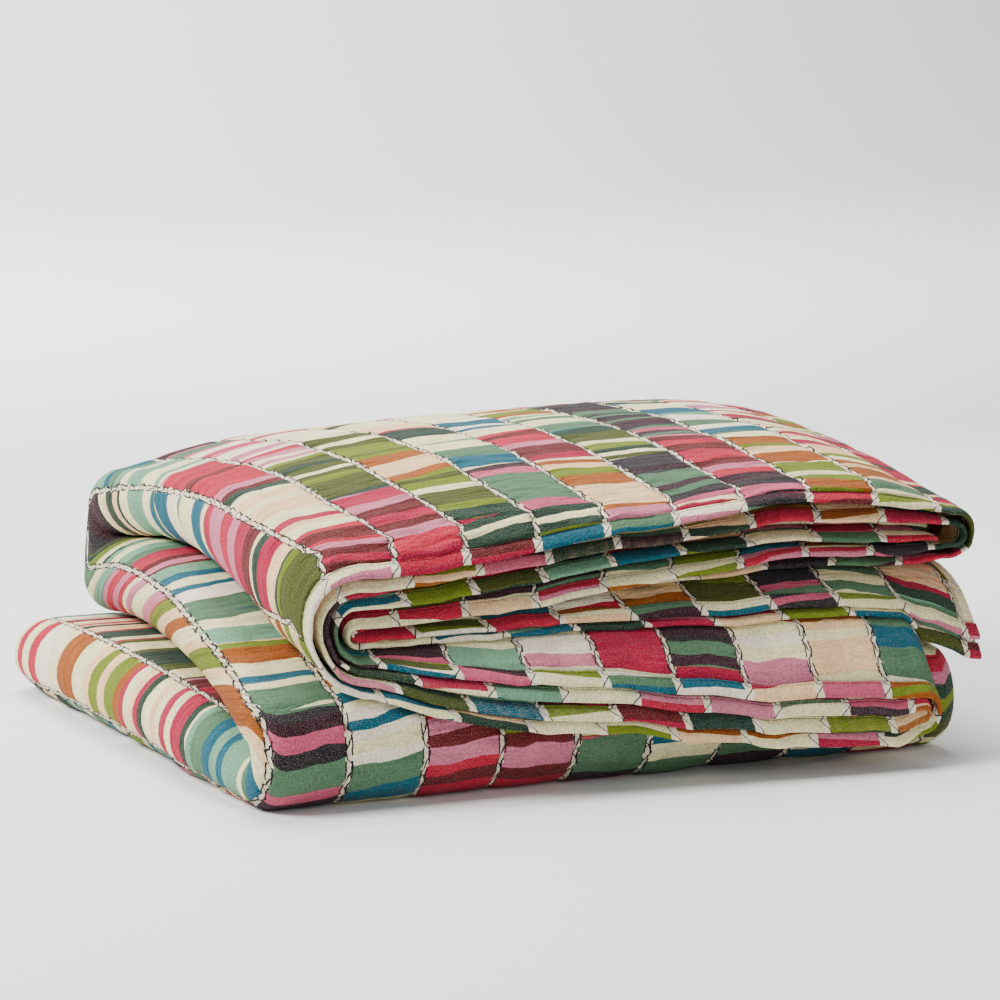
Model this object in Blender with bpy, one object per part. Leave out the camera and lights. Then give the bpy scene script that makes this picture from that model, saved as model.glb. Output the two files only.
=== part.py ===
"""A quilted coverlet with a bound edge, folded as it is put away on a shelf.

The cloth is one sheet. It is folded the way the real one is:
  1. doubled along its length, with both hems at the front,
  2. folded in six passes across its width, which gives a strip of twelve layers,
  3. folded twice more along its length, so that three slabs lie on each other:
     top (its hems at the front), middle and bottom.

Every layer is a level, counted 0 to 11 from the face that touches the middle slab's top.
A level runs back over the top slab, down round the back fold, forward through the middle
slab, down round the front fold and back through the bottom slab. The passes are joined at
the left and right by round turns, and the two hem layers of a pass by a turn at the
bottom slab's back end.

Metres, +Z up, +X right along the front, +Y towards the back. Tables are in millimetres.
"""

import bpy
import numpy as np

MM = 0.001

# Cloth and binding
CLOTH_THICK = 1.8 * MM
BINDING_THICK = 2.0 * MM
BINDING_WIDTH = 10.0 * MM
SEAT_GAP = 0.8 * MM
LEVELS = 12

# Where the folds lie, front to back
FRONT_FOLD_Y = 4.0 * MM
BOTTOM_END_Y = 392.0 * MM
FRONT_ROUNDNESS = 0.95
BACK_ROUNDNESS = 0.80
TURN_ROUNDNESS = 1.0
END_ROUNDNESS = 1.1

# The front of the top slab droops over this depth, as a power of the way to the hem
DROOP_FROM_Y = 50.0 * MM
DROOP_POWER = 3.6

# Least distance between the middles of two layers, and how softly one comes to lie on another
LAYER_CLEAR = 3.4 * MM
FRONT_CLEAR = 5.5 * MM
SOFT_CONTACT = 1.5 * MM
STEEPEST = 2

# The round of the front fold carries on as a straight slope from this share of its reach
SKIN_END = 0.9

# Heights of the faces between slabs, a row for each station across, columns front to back
FACE_X = (60, 200, 340, 460)
FACE_Y = (0, 50, 100, 200, 300, 400)
BOTTOM_TO_MIDDLE = (
    (32, 43, 49, 54, 55, 46),
    (32, 42, 49, 54, 54, 46),
    (32, 42, 49, 53, 53, 46),
    (32, 40, 45, 50, 51, 45),
)
MIDDLE_TO_TOP = (
    (64, 75, 87, 106, 108, 95),
    (65, 76, 90, 108, 110, 99),
    (65, 76, 90, 106, 108, 99),
    (64, 72, 82, 96, 100, 94),
)

# Height of the crown, a row for each station across, columns front to back
CROWN_X = (60, 120, 200, 280, 360, 420, 476)
CROWN_Y = (0, 50, 100, 200, 300, 400)
CROWN = (
    (137, 149, 154, 155, 151, 139),
    (142, 158, 164, 169, 166, 154),
    (148, 164, 173, 178, 174, 160),
    (157, 168, 177, 182, 178, 162),
    (162, 171, 179, 184, 180, 164),
    (158, 168, 175, 182, 180, 164),
    (141, 148, 156, 168, 171, 160),
)

# Each hem of the top slab, a row for each level: its y and z at the stations
HEM_X = (50, 120, 200, 280, 360, 430, 475)
HEMS = {
    11: ((4, 4, 2, 0, 0, 0, 0), (128, 128, 138, 148, 154, 146, 137)),
    10: ((4, 4, 3, 1, 1, 1, 0), (119, 121, 129, 137, 142, 137, 131)),
    9: ((3, 12, 18, 18, 16, 15, 15), (115, 115, 123, 132, 136, 131, 128)),
    8: ((2, 6, 7, 5, 3, 2, 1), (110, 110, 118, 128, 130, 125, 125)),
    7: ((2, 3, 2, -2, -3, -1, 0), (97, 98, 105, 116, 122, 119, 122)),
    6: ((2, 12, 14, 12, 9, 4, 0), (94, 94, 99, 108, 114, 112, 117)),
    5: ((2, 3, -1, -8, -13, -16, -17), (88, 87, 90, 93, 92, 80, 61)),
    4: ((2, 2, -2, -10, -15, -18, -19), (84, 80, 81, 84, 83, 68, 51)),
    3: ((-4, -24, -36, -45, -52, -54, -53), (82, 70, 60, 48, 40, 37, 38)),
    2: ((-6, -28, -39, -48, -55, -55, -54), (78, 64, 53, 39, 31, 32, 34)),
    1: ((-9, -31, -42, -50, -57, -56, -55), (72, 54, 42, 30, 22, 26, 30)),
    0: ((-12, -34, -43, -51, -58, -56, -55), (66, 48, 36, 24, 16, 20, 25)),
}

# Lines that the turns of each slab are centred on, columns front to back
LINE_Y = (0, 100, 200, 300, 400)
LEFT_LINE = {
    "top": (70, 70, 69, 66, 61),
    "middle": (14, 30, 46, 55, 60),
    "bottom": (14, 17, 18, 17, 14),
}
COMMON_RIGHT = 450.0 * MM
RIGHT_LINES = {
    "outer fold": {
        "top": (462, 461, 460, 460, 460),
        "middle": (438, 442, 446, 450, 456),
        "bottom": (438, 440, 443, 445, 447),
    },
    "under fold": {
        "top": (409, 429, 441, 448, 452),
        "middle": (444, 446, 449, 451, 452),
        "bottom": (444, 446, 448, 450, 452),
    },
    "tucked end": {
        "top": (450, 449, 448, 448, 448),
        "middle": (429, 433, 436, 440, 445),
        "bottom": (429, 431, 434, 436, 438),
    },
    "loose end": {
        "top": (469, 467, 465, 464, 464),
        "middle": (443, 446, 449, 453, 459),
        "bottom": (443, 445, 447, 449, 451),
    },
}

# The passes in the order of the cloth: level of its face layer, of its back layer, which
# way it runs and the line on the right where it ends or turns
PASSES = (
    ("second", 8, 9, "left", "tucked end"),
    ("fifth", 3, 2, "right", "under fold"),
    ("sixth", 0, 1, "left", "under fold"),
    ("first", 11, 10, "right", "outer fold"),
    ("third", 6, 7, "left", "outer fold"),
    ("fourth", 5, 4, "right", "loose end"),
)

# Grid: shares of a pass, steps of each turn, and rows of each slab
PASS_SHARES = (0, 0.12, 0.28, 0.46, 0.66, 0.86, 1)
TURN_STEPS = (5, 4, 5, 3, 4)
DROOP_SHARES = (0.15, 0.33, 0.53, 0.76)
SLAB_DEPTHS = (50, 130, 250, 372)
BACK_FOLD_STEPS = 3
FRONT_FOLD_STEPS = 5
END_STEPS = 2
TOP_ROWS = 3 + len(DROOP_SHARES) + len(SLAB_DEPTHS)
DROOP_SAMPLES = 60


def curve_through(at, stations):
    """Weights of each station at the places asked for: a smooth curve through all values."""
    at = np.clip(at, stations[0], stations[-1])
    stations = np.asarray(stations, float)
    i = np.clip(np.searchsorted(stations, at, side="right") - 1, 0, len(stations) - 2)
    span = stations[i + 1] - stations[i]
    t = (at - stations[i]) / span
    unit = np.eye(len(stations))
    slope = np.gradient(unit, stations, axis=0)
    shape = (t * 0)[..., None]
    t = t[..., None]
    span = span[..., None]
    start = (1 + 2 * t) * (1 - t) ** 2
    end = t * t * (3 - 2 * t)
    out_of = t * (1 - t) ** 2 * span
    into = t * t * (t - 1) * span
    return shape + start * unit[i] + end * unit[i + 1] + out_of * slope[i] + into * slope[i + 1]


def along(values, at, stations):
    """One row of a table in millimetres, read at places in metres."""
    weights = curve_through(at / MM, stations)
    return weights @ np.asarray(values, float) * MM


def over(table, x, y, x_stations, y_stations):
    """A table of heights in millimetres, read at places in metres."""
    across = curve_through(x / MM, x_stations)
    deep = curve_through(y / MM, y_stations)
    return np.einsum("...i,ij,...j->...", across, np.asarray(table, float), deep) * MM


def bottom_height(level, x, y):
    """Bottom slab: level 0 is flat on the surface, level 11 just under the middle slab."""
    floor = CLOTH_THICK / 2
    face = over(BOTTOM_TO_MIDDLE, x, y, FACE_X, FACE_Y)
    return floor + (face - floor) * level / (LEVELS - 0.5)


def middle_height(level, x, y):
    """Middle slab, upside down: level 0 is its top."""
    low = over(BOTTOM_TO_MIDDLE, x, y, FACE_X, FACE_Y)
    high = over(MIDDLE_TO_TOP, x, y, FACE_X, FACE_Y)
    return low + (high - low) * (LEVELS - 0.5 - level) / LEVELS


def hem_of(level, x):
    """Where the hem of a level lies: y and z."""
    hem_y, hem_z = HEMS[level]
    return along(hem_y, x, HEM_X), along(hem_z, x, HEM_X)


def front_skin(x, y):
    """Lowest place for the top slab's lowest layer: on the middle slab and round the front fold."""
    high = middle_height(0, x, np.maximum(y, FRONT_FOLD_Y))
    low = bottom_height(0, x, y)
    half = (high - low) / 2
    reach = half * FRONT_ROUNDNESS + FRONT_CLEAR
    way = np.clip((FRONT_FOLD_Y - y) / reach, 0, None)
    round_way = np.minimum(way, SKIN_END)
    level_at_end = np.sqrt(1 - round_way ** 2)
    rise = level_at_end - (way - round_way) * round_way / level_at_end
    return low + half + (half + FRONT_CLEAR) * rise


def loose_height(level, x, y):
    """Top slab, layer by layer: even under the crown, and drooping to each hem at the front."""
    share = (level + 0.5) / LEVELS

    def even(depth):
        low = over(MIDDLE_TO_TOP, x, np.maximum(depth, 0), FACE_X, FACE_Y)
        high = over(CROWN, x, np.maximum(depth, 0), CROWN_X, CROWN_Y)
        return low + (high - low) * share

    hem_y, hem_z = hem_of(level, x)
    way = np.clip((DROOP_FROM_Y - y) / (DROOP_FROM_Y - hem_y), 0, None)
    return even(y) - (even(hem_y) - hem_z) * way ** DROOP_POWER


def top_height(level, x, y):
    """Top slab's heights along lines from front to back: no layer sinks into the one below."""
    soft = SOFT_CONTACT * np.clip((DROOP_FROM_Y - y) / DROOP_FROM_Y, 0, 1)
    under = front_skin(x, y)
    for current in range(level + 1):
        loose = loose_height(current, x, y)
        height = (loose + under + np.hypot(loose - under, soft)) / 2
        slope = np.gradient(height, axis=-1) / np.gradient(y, axis=-1)
        under = height + LAYER_CLEAR * np.hypot(1, np.clip(slope, -STEEPEST, STEEPEST))
    return height


def by_length(points, lengths):
    """Points on each line at given lengths of cloth from its start."""
    step = np.linalg.norm(np.diff(points, axis=1), axis=-1)
    run = np.concatenate([step[:, :1] * 0, np.cumsum(step, axis=1)], axis=1)
    apart = 2 * run.max() + np.max(lengths)
    offset = np.arange(len(points))[:, None] * apart
    wanted = (lengths + offset).ravel()
    known = (run + offset).ravel()
    found = [np.interp(wanted, known, points[..., axis].ravel()) for axis in range(3)]
    return np.stack(found, axis=-1).reshape(lengths.shape + (3,))


def by_depth(points, y):
    """Points on each line at given depths, which grow from the line's start."""
    apart = np.ptp(points[..., 1]) + 1
    offset = np.arange(len(points))[:, None] * apart
    wanted = (y + offset).ravel()
    known = (points[..., 1] + offset).ravel()
    found = [np.interp(wanted, known, points[..., axis].ravel()) for axis in range(3)]
    return np.stack(found, axis=-1).reshape(y.shape + (3,))


def across(share, line, slab, y):
    """x of a pass's lines: at shares of one common width, the last ones in from its own end."""
    left = along(LEFT_LINE[slab], y, LINE_Y)
    right = along(RIGHT_LINES[line][slab], y, LINE_Y)
    common = left + (COMMON_RIGHT - left) * share
    return np.where(share < 1, common, right - (share - 1))


def turn(start, end, side, steps, roundness, upright=0):
    """Round turn between two lines of points: half an ellipse that bulges to one side.

    In the first rows, as many as upright says, only the height counts for the bulge.
    """
    angle = np.linspace(0, np.pi, steps + 1)[1:-1]
    angle = angle.reshape((-1,) + (1,) * start.ndim)
    middle = (start + end) / 2
    half = (start - end) / 2
    counted = half.copy()
    counted[:upright, 1] = 0
    reach = np.linalg.norm(counted, axis=-1, keepdims=True) * roundness
    return middle + half * np.cos(angle) + np.asarray(side, float) * reach * np.sin(angle)


def top_rows(level, share, line):
    """The top slab: rows by length of cloth near the hem, then at the slabs' common depths."""
    way = np.linspace(0, 1, DROOP_SAMPLES)
    x = across(share, line, "top", DROOP_FROM_Y * way)
    hem_y = hem_of(level, x)[0]
    y = hem_y + (DROOP_FROM_Y - hem_y) * way
    front = np.stack([x, y, top_height(level, x, y)], axis=-1)
    border = np.zeros((len(front), 3)) + (0, BINDING_WIDTH, BINDING_WIDTH + SEAT_GAP)
    border = by_length(front, border)
    edge_y = border[:, -1:, 1]
    y = edge_y + (DROOP_FROM_Y - edge_y) * np.array(DROOP_SHARES)
    rest = by_depth(front, y)
    front = np.concatenate([border, rest], axis=1)
    depth = np.array(SLAB_DEPTHS) * MM
    x = across(share, line, "top", depth)
    y = x * 0 + depth
    back = np.stack([x, y, top_height(level, x, y)], axis=-1)
    return np.concatenate([front, back], axis=1)


def slab_rows(level, share, line, slab, height, depth):
    """The middle or bottom slab at its rows' depths."""
    x = across(share, line, slab, depth)
    y = x * 0 + depth
    return np.stack([x, y, height(level, x, y)], axis=-1)


def level_sheet(level, share, line):
    """One level of one pass, from its hem to the bottom slab's end: lines across, rows deep."""
    share = share[:, None]
    depth = np.array(SLAB_DEPTHS) * MM
    top = top_rows(level, share, line)
    middle_depth = np.append(depth[::-1], FRONT_FOLD_Y)
    middle = slab_rows(level, share, line, "middle", middle_height, middle_depth)
    bottom_depth = np.concatenate([[FRONT_FOLD_Y], depth[:-1], [BOTTOM_END_Y]])
    bottom = slab_rows(level, share, line, "bottom", bottom_height, bottom_depth)
    back = turn(top[:, -1], middle[:, 0], (0, 1, 0), BACK_FOLD_STEPS, BACK_ROUNDNESS)
    front = turn(middle[:, -1], bottom[:, 0], (0, -1, 0), FRONT_FOLD_STEPS, FRONT_ROUNDNESS)
    back = np.moveaxis(back, 0, 1)
    front = np.moveaxis(front, 0, 1)
    return np.concatenate([top, back, middle, front, bottom], axis=1)


def pass_shares(line):
    """Shares across a pass from its left turn. From 1 on they are 1 and the way in from its end."""
    share = np.array(PASS_SHARES, float)
    if not line.endswith("end"):
        return share
    border = 1 + np.array([BINDING_WIDTH + SEAT_GAP, BINDING_WIDTH, 0])
    return np.concatenate([share[:-1], border])


def half_sheet(which):
    """All passes of the face layers (which = 1) or of the back layers (which = 2)."""
    strips = []
    for i, entry in enumerate(PASSES):
        strip = level_sheet(entry[which], pass_shares(entry[4]), entry[4])
        if entry[3] == "left":
            strip = strip[::-1]
        if strips:
            side = (-1, 0, 0) if PASSES[i - 1][3] == "left" else (1, 0, 0)
            before, after = strips[-1][-1], strip[0]
            steps = TURN_STEPS[i - 1]
            strips.append(turn(before, after, side, steps, TURN_ROUNDNESS, TOP_ROWS))
        strips.append(strip)
    return np.concatenate(strips, axis=0)


def folded_sheet():
    """The whole sheet: a grid of points, lines across the cloth by rows along it."""
    face = half_sheet(1)
    back = half_sheet(2)
    end = turn(face[:, -1], back[:, -1], (0, 1, 0), END_STEPS, END_ROUNDNESS)
    return np.concatenate([face, np.moveaxis(end, 0, 1), back[:, ::-1]], axis=1)


def material(name, colour, roughness):
    made = bpy.data.materials.new(name)
    made.use_nodes = True
    shader = made.node_tree.nodes["Principled BSDF"]
    shader.inputs["Base Color"].default_value = (*colour, 1)
    shader.inputs["Roughness"].default_value = roughness
    shader.inputs["Metallic"].default_value = 0
    return made


def sheet_normals(points):
    """Direction across the cloth at each point. The two lines at the binding's seat share one."""
    along_line = np.gradient(points, axis=1)
    along_row = np.gradient(points, axis=0)
    normal = np.cross(along_row, along_line)
    normal /= np.linalg.norm(normal, axis=-1, keepdims=True)
    for seat in (1, -3):
        pair = slice(seat, seat + 2)
        normal[pair] = normal[pair].mean(axis=0)
        normal[:, pair] = normal[:, pair].mean(axis=1, keepdims=True)
    return normal / np.linalg.norm(normal, axis=-1, keepdims=True)


def sheet_triangles(points, first_ring, last_ring):
    """Two triangles for each cell of a panel or a ring of cells, corners as numbers of points.

    A cell's ring is how many cells it lies in from the sheet's edge. The diagonals of all
    layers run the same way in plan, so that layers that lie close never cross.
    """
    lines, rows = points.shape[:2]
    line, row = np.meshgrid(np.arange(lines - 1), np.arange(rows - 1), indexing="ij")
    ring = np.minimum(np.minimum(line, row), np.minimum(lines - 2 - line, rows - 2 - row))
    kept = (ring >= first_ring) & (ring <= last_ring)
    first = line * rows + row
    second = first + rows
    third = second + 1
    fourth = first + 1
    run = points[1:, :, 0] - points[:-1, :, 0]
    run = run[:, 1:] + run[:, :-1]
    onward = np.where(row < (rows - 1) / 2, 1, -1)
    rising = (run * onward > 0)[..., None]
    one = np.where(rising, np.stack([first, second, third], -1), np.stack([first, second, fourth], -1))
    other = np.where(rising, np.stack([first, third, fourth], -1), np.stack([second, third, fourth], -1))
    return np.concatenate([one[kept], other[kept]])


def rim_walls(triangles, count):
    """Triangles that join the rim of one face to that of the other, count points further on."""
    edges = np.concatenate([triangles[:, :2], triangles[:, 1:], triangles[:, ::-2]])
    key = edges[:, 0] * count + edges[:, 1]
    back_key = edges[:, 1] * count + edges[:, 0]
    edges = edges[~np.isin(key, back_key)]
    start, end = edges.T
    rising = (start < end)[:, None]
    one = np.where(rising, np.stack([end, start, end + count], -1),
                   np.stack([end, start, start + count], -1))
    other = np.where(rising, np.stack([start, start + count, end + count], -1),
                     np.stack([end, start + count, end + count], -1))
    return np.concatenate([one, other])


def sheet_object(name, points, first_ring, last_ring, thickness, finish, collection):
    """A panel or a ring of the folded sheet as one closed solid."""
    upper = sheet_triangles(points, first_ring, last_ring)
    count = points.shape[0] * points.shape[1]
    faces = np.concatenate([upper, upper[:, ::-1] + count, rim_walls(upper, count)])
    offset = sheet_normals(points) * thickness / 2
    corners = np.concatenate([(points + offset).reshape(-1, 3), (points - offset).reshape(-1, 3)])
    used, faces = np.unique(faces, return_inverse=True)
    faces = faces.reshape(-1, 3)
    mesh = bpy.data.meshes.new(name)
    mesh.from_pydata(corners[used].tolist(), [], faces.tolist())
    mesh.materials.append(finish)
    mesh.shade_smooth()
    mesh.set_sharp_from_angle(angle=np.radians(50))
    piece = bpy.data.objects.new(name, mesh)
    collection.objects.link(piece)
    return piece


def main():
    for old in list(bpy.data.objects):
        bpy.data.objects.remove(old)
    collection = bpy.data.collections.new("Coverlet")
    bpy.context.scene.collection.children.link(collection)
    points = folded_sheet()
    low = points.min(axis=(0, 1))
    high = points.max(axis=(0, 1))
    points[..., :2] -= (low[:2] + high[:2]) / 2
    cotton = material("cotton", (0.62, 0.42, 0.36), 0.85)
    strip = material("binding cotton", (0.55, 0.33, 0.32), 0.85)
    sheet_object("cloth", points, 2, 10000, CLOTH_THICK, cotton, collection)
    sheet_object("binding", points, 0, 0, BINDING_THICK, strip, collection)


main()
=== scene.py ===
"""Looks of a quilted coverlet with a bound edge, folded as it is put away on a shelf.

The cloth is one sheet of two cotton layers with thin wadding, sewn through in columns. It is
doubled along its length, folded in six passes across its width and folded twice more, so it
has twelve levels in each of three slabs: top (hems at the front), middle and bottom. The fold
is the same as the part's own: its tables of sizes are repeated here, and read at many more
places. Metres, +Z up, +X right along the front. Tables of the fold are in millimetres.
"""

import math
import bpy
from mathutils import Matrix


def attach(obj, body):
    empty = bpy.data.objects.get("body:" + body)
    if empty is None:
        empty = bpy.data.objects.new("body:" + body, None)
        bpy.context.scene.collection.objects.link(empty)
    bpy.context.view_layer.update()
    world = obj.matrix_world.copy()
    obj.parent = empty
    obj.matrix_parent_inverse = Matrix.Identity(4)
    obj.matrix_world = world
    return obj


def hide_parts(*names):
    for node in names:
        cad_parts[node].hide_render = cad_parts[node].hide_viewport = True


bl_info = {
    "name": "Folded coverlet",
    "version": (1, 0, 0),
    "blender": (4, 5, 0),
    "location": "View3D > Sidebar > Coverlet",
    "description": "Builds the cloth, the binding and the stage of a folded quilted coverlet",
    "category": "Add Mesh",
}

import bpy
import numpy as np
from mathutils import Vector
from bpy.props import FloatProperty, FloatVectorProperty, PointerProperty

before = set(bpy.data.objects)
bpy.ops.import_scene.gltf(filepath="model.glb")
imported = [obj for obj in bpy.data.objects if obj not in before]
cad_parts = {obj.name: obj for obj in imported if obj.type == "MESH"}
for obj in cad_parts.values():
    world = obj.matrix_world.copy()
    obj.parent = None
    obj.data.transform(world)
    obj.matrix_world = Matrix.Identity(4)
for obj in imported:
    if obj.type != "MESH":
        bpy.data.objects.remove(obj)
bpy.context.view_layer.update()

MM = 0.001
LEVELS = 12
CENTRE = (0.2346, 0.1775)
CAD_THICK = 1.8 * MM

# Where the folds lie, front to back, and how round they are
FRONT_FOLD_Y = 4.0 * MM
BOTTOM_END_Y = 392.0 * MM
FRONT_ROUNDNESS = 0.95
BACK_ROUNDNESS = 0.80
TURN_ROUNDNESS = 1.0
END_ROUNDNESS = 1.1
DROOP_FROM_Y = 50.0 * MM
DROOP_POWER = 3.6
LAYER_CLEAR = 3.4 * MM
FRONT_CLEAR = 5.5 * MM
SKIN_END = 0.9
SOFT_CONTACT = 1.5 * MM
STEEPEST = 2
UNDER_FOLD_LEVELS = (0, 1, 2, 3)
FREE_END_REACH = 20 * MM
FREE_END_DROP = 60 * MM

# How finely the fold is worked out: lines in a pass, steps round its turns, round its end and
# down its droop
LINES_A_PASS = 70
TURN_STEPS = 20
END_STEPS = 6
DROOP_STEPS = 90

# Waves of the hems: how far out and up, how long, and how much they change from level to level
HEM_WAVE_OUT = 1.0 * MM
HEM_WAVE_UP = 1.3 * MM
WAVE_LENGTH = 38 * MM
RIPPLE_LENGTH = 17 * MM
WAVE_CHANGE = 0.22

# Heights of the faces between slabs, a row for each station across, columns front to back
FACE_X = (60, 200, 340, 460)
FACE_Y = (0, 50, 100, 200, 300, 400)
BOTTOM_TO_MIDDLE = (
    (32, 43, 49, 54, 55, 46),
    (32, 42, 49, 54, 54, 46),
    (32, 42, 49, 53, 53, 46),
    (32, 40, 45, 50, 51, 45),
)
MIDDLE_TO_TOP = (
    (64, 75, 87, 106, 108, 95),
    (65, 76, 90, 108, 110, 99),
    (65, 76, 90, 106, 108, 99),
    (64, 72, 82, 96, 100, 94),
)
CROWN_X = (60, 120, 200, 280, 360, 420, 476)
CROWN_Y = (0, 50, 100, 200, 300, 400)
CROWN = (
    (137, 149, 154, 155, 151, 139),
    (142, 158, 164, 169, 166, 154),
    (148, 164, 173, 178, 174, 160),
    (157, 168, 177, 182, 178, 162),
    (162, 171, 179, 184, 180, 164),
    (158, 168, 175, 182, 180, 164),
    (141, 148, 156, 168, 171, 160),
)

# Each hem of the top slab, a row for each level: its y and z at the stations
HEM_X = (50, 120, 200, 280, 360, 430, 475)
HEMS = {
    11: ((4, 4, 2, 0, 0, 0, 0), (128, 128, 138, 148, 154, 146, 137)),
    10: ((4, 4, 3, 1, 1, 1, 0), (119, 121, 129, 137, 142, 137, 131)),
    9: ((3, 12, 18, 18, 16, 15, 15), (115, 115, 123, 132, 136, 131, 128)),
    8: ((2, 6, 7, 5, 3, 2, 1), (110, 110, 118, 128, 130, 125, 125)),
    7: ((2, 3, 2, -2, -3, -1, 0), (97, 98, 105, 116, 122, 119, 122)),
    6: ((2, 12, 14, 12, 9, 4, 0), (94, 94, 99, 108, 114, 112, 117)),
    5: ((2, 3, -1, -8, -13, -16, -17), (88, 87, 90, 93, 92, 80, 61)),
    4: ((2, 2, -2, -10, -15, -18, -19), (84, 80, 81, 84, 83, 68, 51)),
    3: ((-4, -24, -36, -45, -52, -54, -53), (82, 70, 60, 48, 40, 37, 38)),
    2: ((-6, -28, -39, -48, -55, -55, -54), (78, 64, 53, 39, 31, 32, 34)),
    1: ((-9, -31, -42, -50, -57, -56, -55), (72, 54, 42, 30, 22, 26, 30)),
    0: ((-12, -34, -43, -51, -58, -56, -55), (66, 48, 36, 24, 16, 20, 25)),
}

# Lines that the turns of each slab are centred on, columns front to back
LINE_Y = (0, 100, 200, 300, 400)
LEFT_LINE = {
    "top": (70, 70, 69, 66, 61),
    "middle": (14, 30, 46, 55, 60),
    "bottom": (14, 17, 18, 17, 14),
}
RIGHT_LINES = {
    "outer fold": {
        "top": (462, 461, 460, 460, 460),
        "middle": (438, 442, 446, 450, 456),
        "bottom": (438, 440, 443, 445, 447),
    },
    "under fold": {
        "top": (409, 429, 441, 448, 452),
        "middle": (444, 446, 449, 451, 452),
        "bottom": (444, 446, 448, 450, 452),
    },
    "tucked end": {
        "top": (450, 449, 448, 448, 448),
        "middle": (429, 433, 436, 440, 445),
        "bottom": (429, 431, 434, 436, 438),
    },
    "loose end": {
        "top": (469, 467, 465, 464, 464),
        "middle": (443, 446, 449, 453, 459),
        "bottom": (443, 445, 447, 449, 451),
    },
}

# The passes in the order of the cloth: level of the face layer, of the back layer, which way
# the pass runs and the line on the right where it ends or turns
PASSES = (
    ("second", 8, 9, "left", "tucked end"),
    ("fifth", 3, 2, "right", "under fold"),
    ("sixth", 0, 1, "left", "under fold"),
    ("first", 11, 10, "right", "outer fold"),
    ("third", 6, 7, "left", "outer fold"),
    ("fourth", 5, 4, "right", "loose end"),
)


def curve_through(at, stations):
    """Weights of each station at the places asked for: a smooth curve through all values."""
    at = np.clip(at, stations[0], stations[-1])
    stations = np.asarray(stations, float)
    i = np.clip(np.searchsorted(stations, at, side="right") - 1, 0, len(stations) - 2)
    span = stations[i + 1] - stations[i]
    t = (at - stations[i]) / span
    unit = np.eye(len(stations))
    slope = np.gradient(unit, stations, axis=0)
    t = t[..., None]
    span = span[..., None]
    start = (1 + 2 * t) * (1 - t) ** 2
    end = t * t * (3 - 2 * t)
    out_of = t * (1 - t) ** 2 * span
    into = t * t * (t - 1) * span
    return start * unit[i] + end * unit[i + 1] + out_of * slope[i] + into * slope[i + 1]


def along(values, at, stations):
    """One row of a table in millimetres, read at places in metres."""
    return curve_through(at / MM, stations) @ np.asarray(values, float) * MM


def over(table, x, y, x_stations, y_stations):
    """A table of heights in millimetres, read at places in metres."""
    across = curve_through(x / MM, x_stations)
    deep = curve_through(y / MM, y_stations)
    return np.einsum("...i,ij,...j->...", across, np.asarray(table, float), deep) * MM


def bottom_height(level, x, y):
    """Bottom slab: level 0 is flat on the surface, level 11 just under the middle slab."""
    floor = CAD_THICK / 2
    face = over(BOTTOM_TO_MIDDLE, x, y, FACE_X, FACE_Y)
    return floor + (face - floor) * level / (LEVELS - 0.5)


def middle_height(level, x, y):
    """Middle slab, upside down: level 0 is its top."""
    low = over(BOTTOM_TO_MIDDLE, x, y, FACE_X, FACE_Y)
    high = over(MIDDLE_TO_TOP, x, y, FACE_X, FACE_Y)
    return low + (high - low) * (LEVELS - 0.5 - level) / LEVELS


def hem_of(level, x):
    """Where the hem of a level lies: y and z."""
    hem_y, hem_z = HEMS[level]
    return along(hem_y, x, HEM_X), along(hem_z, x, HEM_X)


def front_skin(x, y):
    """Lowest place for the top slab's lowest layer: on the middle slab and round the front fold."""
    high = middle_height(0, x, np.maximum(y, FRONT_FOLD_Y))
    low = bottom_height(0, x, y)
    half = (high - low) / 2
    reach = half * FRONT_ROUNDNESS + FRONT_CLEAR
    way = np.clip((FRONT_FOLD_Y - y) / reach, 0, None)
    round_way = np.minimum(way, SKIN_END)
    level_at_end = np.sqrt(1 - round_way ** 2)
    rise = level_at_end - (way - round_way) * round_way / level_at_end
    return low + half + (half + FRONT_CLEAR) * rise


def free_end_drop(x, y):
    """How far the free end may sink past the turn of the levels under it: a smooth step."""
    past = (x - along(RIGHT_LINES["under fold"]["top"], y, LINE_Y)) / FREE_END_REACH - 0.5
    past = np.clip(past, 0, 1)
    return past * past * (3 - 2 * past) * FREE_END_DROP


def loose_height(level, x, y):
    """Top slab, layer by layer: even under the crown, and drooping to each hem at the front."""
    share = (level + 0.5) / LEVELS

    def even(depth):
        low = over(MIDDLE_TO_TOP, x, np.maximum(depth, 0), FACE_X, FACE_Y)
        high = over(CROWN, x, np.maximum(depth, 0), CROWN_X, CROWN_Y)
        return low + (high - low) * share

    hem_y, hem_z = hem_of(level, x)
    way = np.clip((DROOP_FROM_Y - y) / (DROOP_FROM_Y - hem_y), 0, None)
    return even(y) - (even(hem_y) - hem_z) * way ** DROOP_POWER


def top_height(level, x, y):
    """Top slab's heights along lines from front to back: no layer sinks into the one below."""
    soft = SOFT_CONTACT * np.clip((DROOP_FROM_Y - y) / DROOP_FROM_Y, 0, 1)
    under = front_skin(x, y)
    drop = free_end_drop(x, y)
    for current in range(level + 1):
        loose = loose_height(current, x, y)
        height = (loose + under + np.hypot(loose - under, soft)) / 2
        slope = np.gradient(height, axis=-1) / np.gradient(y, axis=-1)
        under = height + LAYER_CLEAR * np.hypot(1, np.clip(slope, -STEEPEST, STEEPEST))
        if current in UNDER_FOLD_LEVELS:
            under = under - drop
    return height


# Cells of the noise each way, before it comes round again
NOISE_CELLS = 128


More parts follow.
